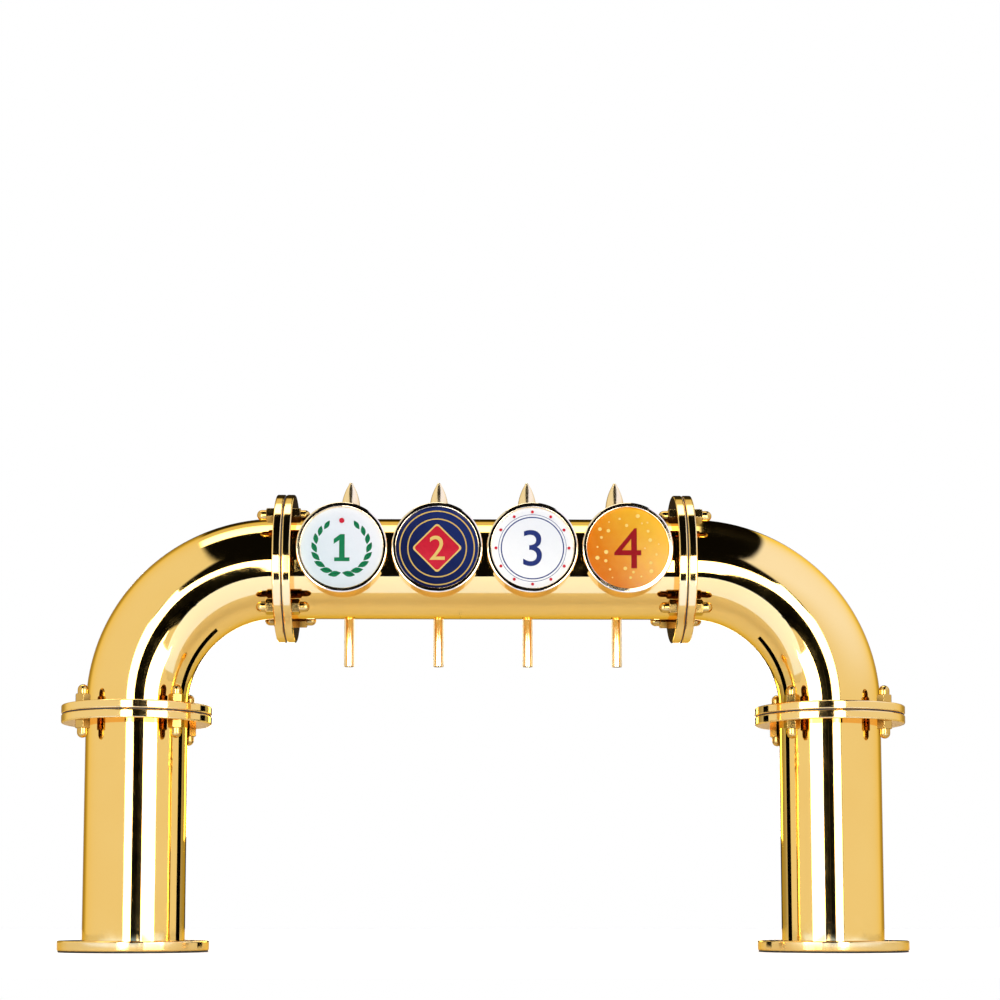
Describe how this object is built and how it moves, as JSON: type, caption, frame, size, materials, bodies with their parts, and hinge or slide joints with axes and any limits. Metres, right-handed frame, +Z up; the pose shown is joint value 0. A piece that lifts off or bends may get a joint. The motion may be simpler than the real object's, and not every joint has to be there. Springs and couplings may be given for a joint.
{
  "type": "bridge beer tower",
  "caption": "Pipe-style bridge beer tower: flanged legs and elbows carry a crossbar with lit round medallions in front and lever taps with straight spouts behind.",
  "frame": {"origin": "on the counter, midway between the axes of the two legs", "axes": "+X along the crossbar, +Y to the bartender's side where the taps are, +Z up"},
  "size_m": [0.85, 0.1842, 0.497],
  "materials": {
    "tube_gold": "mirror-polished gold-tone tube",
    "flange_gold": "turned and polished gold-tone plate",
    "nut_gold": "polished gold-tone fasteners",
    "can_gold": "polished gold-tone spun metal",
    "tap_gold": "polished gold-tone casting",
    "knob_gold": "polished gold-tone turning",
    "fitting_steel": "machined stainless steel",
    "seal_rubber": "black sheet rubber",
    "line_plastic": "natural food-grade polyethylene",
    "board_green": "green solder mask",
    "face_1": "printed acrylic, pale with green",
    "face_2": "printed acrylic, navy with red and gold",
    "face_3": "printed acrylic, white with navy",
    "face_4": "printed acrylic, amber with dark red"
  },
  "bodies": {
    "bridge": {"left_base_gasket": "seal_rubber", "left_base_flange": "flange_gold", "left_leg_tube": "tube_gold", "left_leg_flange": "flange_gold", "left_elbow_tube": "tube_gold", "left_elbow_lower_flange": "flange_gold", "left_elbow_upper_flange": "flange_gold", "left_bar_flange": "flange_gold", "left_beer_lines": "line_plastic", "right_base_gasket": "seal_rubber", "right_base_flange": "flange_gold", "right_leg_tube": "tube_gold", "right_leg_flange": "flange_gold", "right_elbow_tube": "tube_gold", "right_elbow_lower_flange": "flange_gold", "right_elbow_upper_flange": "flange_gold", "right_bar_flange": "flange_gold", "right_beer_lines": "line_plastic", "medallion_can_1": "can_gold", "medallion_can_2": "can_gold", "medallion_can_3": "can_gold", "medallion_can_4": "can_gold", "medallion_bezel_1": "can_gold", "medallion_bezel_2": "can_gold", "medallion_bezel_3": "can_gold", "medallion_bezel_4": "can_gold", "medallion_face_1": "face_1", "medallion_face_2": "face_2", "medallion_face_3": "face_3", "medallion_face_4": "face_4", "tap_body_1": "tap_gold", "tap_body_2": "tap_gold", "tap_body_3": "tap_gold", "tap_body_4": "tap_gold", "crossbar_tube": "tube_gold", "joint_gaskets": "seal_rubber", "joint_studs": "nut_gold", "acorn_nuts": "nut_gold", "light_boards": "board_green", "can_nipples": "fitting_steel", "nipple_nuts": "fitting_steel", "saddle_washers": "fitting_steel", "tap_shanks": "fitting_steel", "shank_nuts": "fitting_steel", "coupling_nuts": "tap_gold", "tap_spouts": "tap_gold", "tap_bonnets": "tap_gold", "hose_clamps": "fitting_steel"},
    "lever_1": {"tap_lever_1": "tap_gold", "tap_knob_1": "knob_gold"},
    "plunger_1": {"tap_plunger_1": "fitting_steel"},
    "lever_2": {"tap_lever_2": "tap_gold", "tap_knob_2": "knob_gold"},
    "plunger_2": {"tap_plunger_2": "fitting_steel"},
    "lever_3": {"tap_lever_3": "tap_gold", "tap_knob_3": "knob_gold"},
    "plunger_3": {"tap_plunger_3": "fitting_steel"},
    "lever_4": {"tap_lever_4": "tap_gold", "tap_knob_4": "knob_gold"},
    "plunger_4": {"tap_plunger_4": "fitting_steel"}
  },
  "joints": [
    {"name": "lever_1_pull", "type": "hinge", "parent": "bridge", "child": "lever_1", "pos_m": [-0.141, 0.09472, 0.4], "axis": [-1, 0, 0], "range_deg": [0, 30]},
    {"name": "plunger_1_slide", "type": "slide", "parent": "bridge", "child": "plunger_1", "axis": [0, -1, 0], "range_m": [0, 0.0058]},
    {"name": "lever_2_pull", "type": "hinge", "parent": "bridge", "child": "lever_2", "pos_m": [-0.047, 0.09472, 0.4], "axis": [-1, 0, 0], "range_deg": [0, 30]},
    {"name": "plunger_2_slide", "type": "slide", "parent": "bridge", "child": "plunger_2", "axis": [0, -1, 0], "range_m": [0, 0.0058]},
    {"name": "lever_3_pull", "type": "hinge", "parent": "bridge", "child": "lever_3", "pos_m": [0.047, 0.09472, 0.4], "axis": [-1, 0, 0], "range_deg": [0, 30]},
    {"name": "plunger_3_slide", "type": "slide", "parent": "bridge", "child": "plunger_3", "axis": [0, -1, 0], "range_m": [0, 0.0058]},
    {"name": "lever_4_pull", "type": "hinge", "parent": "bridge", "child": "lever_4", "pos_m": [0.141, 0.09472, 0.4], "axis": [-1, 0, 0], "range_deg": [0, 30]},
    {"name": "plunger_4_slide", "type": "slide", "parent": "bridge", "child": "plunger_4", "axis": [0, -1, 0], "range_m": [0, 0.0058]}
  ],
  "couplings": [
    {"joint": "plunger_1_slide", "follows": "lever_1_pull", "m_per_rad": 0.011},
    {"joint": "plunger_2_slide", "follows": "lever_2_pull", "m_per_rad": 0.011},
    {"joint": "plunger_3_slide", "follows": "lever_3_pull", "m_per_rad": 0.011},
    {"joint": "plunger_4_slide", "follows": "lever_4_pull", "m_per_rad": 0.011}
  ]
}
